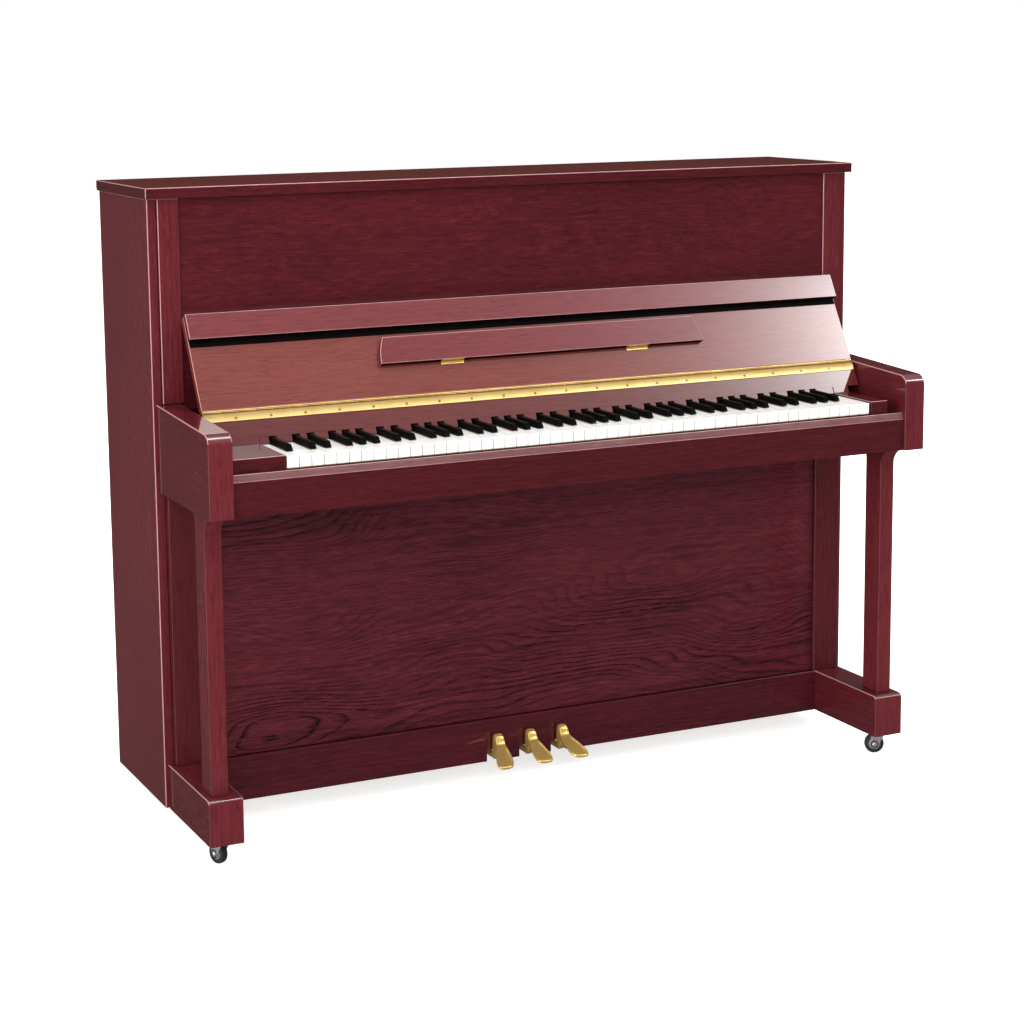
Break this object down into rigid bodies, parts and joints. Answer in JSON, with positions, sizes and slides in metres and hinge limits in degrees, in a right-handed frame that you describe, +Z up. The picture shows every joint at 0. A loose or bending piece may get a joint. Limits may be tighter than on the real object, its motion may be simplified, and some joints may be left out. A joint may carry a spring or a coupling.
{
  "type": "upright piano",
  "caption": "Upright piano in polished red mahogany with turned-back fallboard, fold-out music ledge, square front legs on toe blocks, brass pedals and casters.",
  "frame": {"origin": "on the floor under the middle of the whole piano", "axes": "+X to the pianist's right (treble), -Y the front where the pianist sits, +Z up"},
  "size_m": [1.52, 0.61, 1.21],
  "materials": {
    "case_mahogany": "polished clear lacquer over red-brown mahogany veneer, grain along each piece",
    "panel_mahogany": "polished clear lacquer over dark figured mahogany veneer, horizontal grain",
    "key_white": "smooth acrylic key tops and fronts",
    "key_black": "satin black sharps",
    "brass": "polished and lacquered",
    "chrome": "bright plated pressed steel",
    "caster_rubber": "black moulded tread",
    "spruce": "clear-sealed softwood",
    "beech": "plain hardwood",
    "gilded_iron": "gold-bronzed casting"
  },
  "bodies": {
    "case": {"side_panel_left": "case_mahogany", "side_panel_right": "case_mahogany", "upper_front_panel": "panel_mahogany", "lower_front_panel": "panel_mahogany", "bottom_rail": "panel_mahogany", "bottom_board": "spruce", "pilaster_left": "case_mahogany", "pilaster_right": "case_mahogany", "lower_post_left": "case_mahogany", "lower_post_right": "case_mahogany", "arm_left": "case_mahogany", "arm_right": "case_mahogany", "leg_left": "case_mahogany", "leg_right": "case_mahogany", "toe_block_left": "case_mahogany", "toe_block_right": "case_mahogany", "keybed": "case_mahogany", "key_slip": "case_mahogany", "key_frame": "spruce", "key_block_left": "case_mahogany", "key_block_right": "case_mahogany", "name_strip": "case_mahogany", "fallboard_hinge_fixed_leaf": "brass", "back_frame": "spruce", "soundboard": "spruce", "iron_plate": "gilded_iron", "pin_block": "spruce", "hammer_action": "beech"},
    "lid": {"top_lid": "case_mahogany"},
    "fallboard": {"fallboard_panel": "case_mahogany", "fallboard_hinge_moving_leaf": "brass"},
    "lip": {"fallboard_lip": "case_mahogany"},
    "ledge": {"music_ledge": "case_mahogany"},
    "white_keys_1": {"white_keys_1": "key_white"},
    "black_keys_1": {"black_keys_1": "key_black"},
    "white_keys_2": {"white_keys_2": "key_white"},
    "black_keys_2": {"black_keys_2": "key_black"},
    "white_keys_3": {"white_keys_3": "key_white"},
    "black_keys_3": {"black_keys_3": "key_black"},
    "white_keys_4": {"white_keys_4": "key_white"},
    "black_keys_4": {"black_keys_4": "key_black"},
    "white_keys_5": {"white_keys_5": "key_white"},
    "black_keys_5": {"black_keys_5": "key_black"},
    "white_keys_6": {"white_keys_6": "key_white"},
    "black_keys_6": {"black_keys_6": "key_black"},
    "white_keys_7": {"white_keys_7": "key_white"},
    "black_keys_7": {"black_keys_7": "key_black"},
    "pedal_left": {"pedal_left": "brass"},
    "pedal_middle": {"pedal_middle": "brass"},
    "pedal_right": {"pedal_right": "brass"},
    "caster_fork_front_left": {"caster_fork_front_left": "chrome"},
    "caster_wheel_front_left": {"caster_wheel_front_left": "caster_rubber"},
    "caster_fork_front_right": {"caster_fork_front_right": "chrome"},
    "caster_wheel_front_right": {"caster_wheel_front_right": "caster_rubber"},
    "caster_fork_rear_left": {"caster_fork_rear_left": "chrome"},
    "caster_wheel_rear_left": {"caster_wheel_rear_left": "caster_rubber"},
    "caster_fork_rear_right": {"caster_fork_rear_right": "chrome"},
    "caster_wheel_rear_right": {"caster_wheel_rear_right": "caster_rubber"}
  },
  "joints": [
    {"name": "lid_hinge", "type": "hinge", "parent": "case", "child": "lid", "pos_m": [0, 0.297, 1.19], "axis": [-1, 0, 0], "range_deg": [0, 90]},
    {"name": "fallboard_hinge", "type": "hinge", "parent": "case", "child": "fallboard", "pos_m": [0, -0.1235, 0.8085], "axis": [1, 0, 0], "range_deg": [0, 122]},
    {"name": "lip_hinge", "type": "hinge", "parent": "fallboard", "child": "lip", "pos_m": [0, -0.03042, 0.97448], "axis": [-1, 0, 0], "range_deg": [0, 90]},
    {"name": "ledge_hinge", "type": "hinge", "parent": "fallboard", "child": "ledge", "pos_m": [0.01, -0.09166, 0.86667], "axis": [-1, 0, 0], "range_deg": [-90, 0]},
    {"name": "white_keys_1_pivot", "type": "hinge", "parent": "case", "child": "white_keys_1", "pos_m": [0.0155, -0.06, 0.727], "axis": [1, 0, 0], "range_deg": [0, 2.5], "stiffness_Nm_per_rad": 6, "springref_deg": -11.46},
    {"name": "black_keys_1_pivot", "type": "hinge", "parent": "case", "child": "black_keys_1", "pos_m": [0.0155, -0.06, 0.727], "axis": [1, 0, 0], "range_deg": [0, 2.5], "stiffness_Nm_per_rad": 2.5, "springref_deg": -11.46},
    {"name": "white_keys_2_pivot", "type": "hinge", "parent": "case", "child": "white_keys_2", "pos_m": [0.0155, -0.06, 0.727], "axis": [1, 0, 0], "range_deg": [0, 2.5], "stiffness_Nm_per_rad": 6, "springref_deg": -11.46},
    {"name": "black_keys_2_pivot", "type": "hinge", "parent": "case", "child": "black_keys_2", "pos_m": [0.0155, -0.06, 0.727], "axis": [1, 0, 0], "range_deg": [0, 2.5], "stiffness_Nm_per_rad": 2.5, "springref_deg": -11.46},
    {"name": "white_keys_3_pivot", "type": "hinge", "parent": "case", "child": "white_keys_3", "pos_m": [0.0155, -0.06, 0.727], "axis": [1, 0, 0], "range_deg": [0, 2.5], "stiffness_Nm_per_rad": 6, "springref_deg": -11.46},
    {"name": "black_keys_3_pivot", "type": "hinge", "parent": "case", "child": "black_keys_3", "pos_m": [0.0155, -0.06, 0.727], "axis": [1, 0, 0], "range_deg": [0, 2.5], "stiffness_Nm_per_rad": 2.5, "springref_deg": -11.46},
    {"name": "white_keys_4_pivot", "type": "hinge", "parent": "case", "child": "white_keys_4", "pos_m": [0.0155, -0.06, 0.727], "axis": [1, 0, 0], "range_deg": [0, 2.5], "stiffness_Nm_per_rad": 6, "springref_deg": -11.46},
    {"name": "black_keys_4_pivot", "type": "hinge", "parent": "case", "child": "black_keys_4", "pos_m": [0.0155, -0.06, 0.727], "axis": [1, 0, 0], "range_deg": [0, 2.5], "stiffness_Nm_per_rad": 2.5, "springref_deg": -11.46},
    {"name": "white_keys_5_pivot", "type": "hinge", "parent": "case", "child": "white_keys_5", "pos_m": [0.0155, -0.06, 0.727], "axis": [1, 0, 0], "range_deg": [0, 2.5], "stiffness_Nm_per_rad": 6, "springref_deg": -11.46},
    {"name": "black_keys_5_pivot", "type": "hinge", "parent": "case", "child": "black_keys_5", "pos_m": [0.0155, -0.06, 0.727], "axis": [1, 0, 0], "range_deg": [0, 2.5], "stiffness_Nm_per_rad": 2.5, "springref_deg": -11.46},
    {"name": "white_keys_6_pivot", "type": "hinge", "parent": "case", "child": "white_keys_6", "pos_m": [0.0155, -0.06, 0.727], "axis": [1, 0, 0], "range_deg": [0, 2.5], "stiffness_Nm_per_rad": 6, "springref_deg": -11.46},
    {"name": "black_keys_6_pivot", "type": "hinge", "parent": "case", "child": "black_keys_6", "pos_m": [0.0155, -0.06, 0.727], "axis": [1, 0, 0], "range_deg": [0, 2.5], "stiffness_Nm_per_rad": 2.5, "springref_deg": -11.46},
    {"name": "white_keys_7_pivot", "type": "hinge", "parent": "case", "child": "white_keys_7", "pos_m": [0.0155, -0.06, 0.727], "axis": [1, 0, 0], "range_deg": [0, 2.5], "stiffness_Nm_per_rad": 6, "springref_deg": -11.46},
    {"name": "black_keys_7_pivot", "type": "hinge", "parent": "case", "child": "black_keys_7", "pos_m": [0.0155, -0.06, 0.727], "axis": [1, 0, 0], "range_deg": [0, 2.5], "stiffness_Nm_per_rad": 2.5, "springref_deg": -11.46},
    {"name": "pedal_left_pivot", "type": "hinge", "parent": "case", "child": "pedal_left", "pos_m": [-0.077, 0.15, 0.055], "axis": [1, 0, 0], "range_deg": [0, 4.5], "stiffness_Nm_per_rad": 40, "springref_deg": -11.46},
    {"name": "pedal_middle_pivot", "type": "hinge", "parent": "case", "child": "pedal_middle", "pos_m": [-0.005, 0.15, 0.055], "axis": [1, 0, 0], "range_deg": [0, 4.5], "stiffness_Nm_per_rad": 40, "springref_deg": -11.46},
    {"name": "pedal_right_pivot", "type": "hinge", "parent": "case", "child": "pedal_right", "pos_m": [0.066, 0.15, 0.055], "axis": [1, 0, 0], "range_deg": [0, 4.5], "stiffness_Nm_per_rad": 40, "springref_deg": -11.46},
    {"name": "front_left_swivel", "type": "hinge", "parent": "case", "child": "caster_fork_front_left", "pos_m": [-0.715, -0.215, 0.0447], "axis": [0, 0, 1], "continuous": true},
    {"name": "front_left_wheel", "type": "hinge", "parent": "caster_fork_front_left", "child": "caster_wheel_front_left", "pos_m": [-0.71808, -0.20654, 0.02], "axis": [0.9397, 0.342, 0], "continuous": true},
    {"name": "front_right_swivel", "type": "hinge", "parent": "case", "child": "caster_fork_front_right", "pos_m": [0.715, -0.215, 0.0447], "axis": [0, 0, 1], "continuous": true},
    {"name": "front_right_wheel", "type": "hinge", "parent": "caster_fork_front_right", "child": "caster_wheel_front_right", "pos_m": [0.70705, -0.21077, 0.02], "axis": [0.4695, 0.8829, 0], "continuous": true},
    {"name": "rear_left_swivel", "type": "hinge", "parent": "case", "child": "caster_fork_rear_left", "pos_m": [-0.69, 0.24, 0.0447], "axis": [0, 0, 1], "continuous": true},
    {"name": "rear_left_wheel", "type": "hinge", "parent": "caster_fork_rear_left", "child": "caster_wheel_rear_left", "pos_m": [-0.68767, 0.24869, 0.02], "axis": [0.9659, -0.2588, 0], "continuous": true},
    {"name": "rear_right_swivel", "type": "hinge", "parent": "case", "child": "caster_fork_rear_right", "pos_m": [0.69, 0.24, 0.0447], "axis": [0, 0, 1], "continuous": true},
    {"name": "rear_right_wheel", "type": "hinge", "parent": "caster_fork_rear_right", "child": "caster_wheel_rear_right", "pos_m": [0.68844, 0.24886, 0.02], "axis": [0.9848, 0.1736, 0], "continuous": true}
  ]
}
